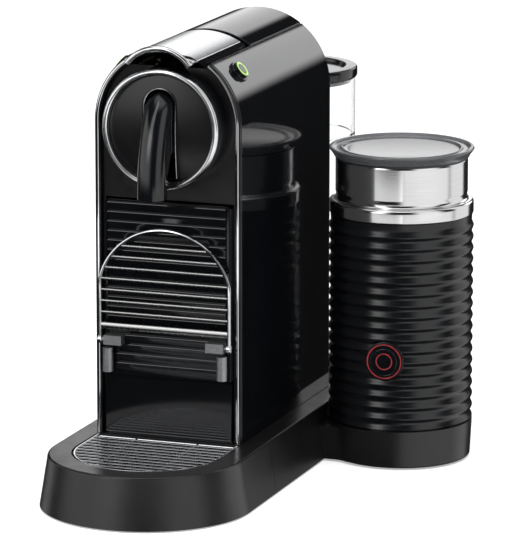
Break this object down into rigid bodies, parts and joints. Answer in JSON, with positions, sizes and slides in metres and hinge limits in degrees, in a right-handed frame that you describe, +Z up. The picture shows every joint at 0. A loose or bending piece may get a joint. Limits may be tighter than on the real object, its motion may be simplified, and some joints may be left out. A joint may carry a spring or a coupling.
{
  "type": "pod coffee machine",
  "caption": "Slim arched pod coffee machine with top lever, louvred front, fold-down cup support, drip tray, round rear water tank and a ribbed milk frother on a side stand.",
  "frame": {"origin": "middle of the footprint on the counter, at the lowest level of the rubber feet", "axes": "+Z up, -Y towards the front with the coffee spout, +X towards the milk frother"},
  "size_m": [0.2164, 0.377, 0.2796],
  "materials": {
    "shell_black": "moulded ABS, piano-black high gloss",
    "base_black": "moulded ABS, fine satin grain, dark grey",
    "fascia_black": "moulded ABS, satin black",
    "drum_black": "moulded ABS, gloss black",
    "trim_silver": "silver paint on plastic",
    "lever_silver": "anodised aluminium, satin",
    "chrome": "chromium plating, polished",
    "wire_chrome": "plated steel wire",
    "steel": "stainless steel",
    "pot_coating": "non-stick coating",
    "rib_rubber": "satin black elastomer sleeve",
    "seal_rubber": "moulded silicone",
    "foot_rubber": "moulded rubber",
    "tank_clear": "clear moulded copolyester",
    "smoke_lid": "smoked transparent plastic",
    "lid_black": "moulded ABS, satin",
    "button_green": "translucent green light ring",
    "inner_plastic": "glass-filled nylon",
    "inner_aluminium": "die-cast aluminium",
    "inner_coil": "wound coil and brass",
    "board_green": "glass-epoxy board",
    "hose_clear": "silicone hose"
  },
  "bodies": {
    "machine": {"base_foot": "base_black", "bottom_plate": "inner_plastic", "rubber_feet": "foot_rubber", "cord_inlet": "foot_rubber", "side_panel_left": "shell_black", "side_panel_right": "shell_black", "edge_trim": "trim_silver", "front_fascia": "fascia_black", "rear_top_cover": "shell_black", "rear_cover": "fascia_black", "case_screws": "steel", "head_drum": "drum_black", "head_ring": "chrome", "head_disc": "fascia_black", "coffee_spout": "drum_black", "extraction_plate": "inner_plastic", "brew_frame": "inner_plastic", "inner_bulkhead": "inner_plastic", "thermoblock": "inner_aluminium", "pump": "inner_coil", "pump_mounts": "seal_rubber", "flow_meter": "inner_plastic", "control_board": "board_green", "button_switches": "inner_plastic", "button_rings": "button_green", "water_hoses": "hose_clear", "tank_dock": "base_black", "dock_fitting": "inner_plastic", "frother_stand": "base_black", "stand_connector": "inner_plastic"},
    "lever": {"lever_plate": "lever_silver", "lever_lip": "chrome", "lever_frame": "drum_black", "lever_pin": "steel"},
    "links": {"toggle_links": "steel"},
    "cage": {"capsule_cage": "inner_plastic"},
    "short_button": {"button_short": "fascia_black"},
    "long_button": {"button_long": "fascia_black"},
    "drawer": {"drip_tray": "base_black", "lower_panel": "drum_black"},
    "grid": {"drip_grid": "wire_chrome"},
    "container": {"capsule_container": "inner_plastic", "louvre_panel": "drum_black", "support_hinge": "chrome"},
    "support": {"cup_support": "wire_chrome"},
    "tank": {"water_tank": "tank_clear"},
    "valve": {"tank_valve": "seal_rubber"},
    "tank_cap": {"tank_lid": "lid_black"},
    "jug": {"frother_jug": "rib_rubber", "jug_bottom": "inner_plastic", "frother_neck": "chrome", "frother_pot": "pot_coating", "pot_heater": "inner_aluminium", "frother_motor": "steel", "button_bezel": "fascia_black"},
    "rotor": {"magnet_rotor": "steel"},
    "whisk": {"whisk": "steel"},
    "jug_cap": {"frother_lid": "smoke_lid", "lid_seal": "seal_rubber"},
    "jug_button": {"frother_button": "fascia_black"}
  },
  "joints": [
    {"name": "lever_hinge", "type": "hinge", "parent": "machine", "child": "lever", "pos_m": [-0.0424, -0.02765, 0.264], "axis": [-1, 0, 0], "range_deg": [0, 80]},
    {"name": "cage_slide", "type": "slide", "parent": "machine", "child": "cage", "axis": [0, 1, 0], "range_m": [0, 0.0239]},
    {"name": "link_hinge", "type": "hinge", "parent": "cage", "child": "links", "pos_m": [-0.0424, -0.07198, 0.24], "axis": [1, 0, 0], "range_deg": [0, 38.6]},
    {"name": "short_button_press", "type": "slide", "parent": "machine", "child": "short_button", "axis": [0.7771, 0, -0.6293], "range_m": [0, 0.0012], "stiffness_N_per_m": 400, "springref_m": -0.001},
    {"name": "long_button_press", "type": "slide", "parent": "machine", "child": "long_button", "axis": [-0.7771, 0, -0.6293], "range_m": [0, 0.0012], "stiffness_N_per_m": 400, "springref_m": -0.001},
    {"name": "drawer_slide", "type": "slide", "parent": "machine", "child": "drawer", "axis": [0, -1, 0], "range_m": [0, 0.11]},
    {"name": "grid_lift", "type": "slide", "parent": "drawer", "child": "grid", "axis": [0, 0, 1], "range_m": [0, 0.03]},
    {"name": "container_slide", "type": "slide", "parent": "drawer", "child": "container", "axis": [0, -1, 0], "range_m": [0, 0.1]},
    {"name": "support_fold", "type": "hinge", "parent": "container", "child": "support", "pos_m": [-0.0424, -0.09365, 0.094], "axis": [1, 0, 0], "range_deg": [0, 90]},
    {"name": "tank_lift", "type": "slide", "parent": "machine", "child": "tank", "axis": [0, 0, 1], "range_m": [0, 0.06]},
    {"name": "valve_slide", "type": "slide", "parent": "tank", "child": "valve", "axis": [0, 0, 1], "range_m": [-0.003, 0]},
    {"name": "tank_cap_lift", "type": "slide", "parent": "tank", "child": "tank_cap", "axis": [0, 0, 1], "range_m": [0, 0.04]},
    {"name": "jug_lift", "type": "slide", "parent": "machine", "child": "jug", "axis": [0, 0, 1], "range_m": [0, 0.05]},
    {"name": "rotor_spin", "type": "hinge", "parent": "jug", "child": "rotor", "pos_m": [0.0626, 0.04875, 0.053], "axis": [0, 0, 1], "continuous": true},
    {"name": "whisk_spin", "type": "hinge", "parent": "jug", "child": "whisk", "pos_m": [0.0626, 0.04875, 0.066], "axis": [0, 0, 1], "continuous": true},
    {"name": "jug_cap_lift", "type": "slide", "parent": "jug", "child": "jug_cap", "axis": [0, 0, 1], "range_m": [0, 0.04]},
    {"name": "jug_button_press", "type": "slide", "parent": "jug", "child": "jug_button", "axis": [-0.0924, 0.9957, 0], "range_m": [0, 0.0008], "stiffness_N_per_m": 400, "springref_m": -0.001}
  ],
  "couplings": [
    {"joint": "cage_slide", "follows": "lever_hinge", "m_per_rad": 0.01699},
    {"joint": "link_hinge", "follows": "lever_hinge", "ratio": 0.4789},
    {"joint": "valve_slide", "follows": "tank_lift", "ratio": -0.05},
    {"joint": "whisk_spin", "follows": "rotor_spin", "ratio": 1}
  ]
}
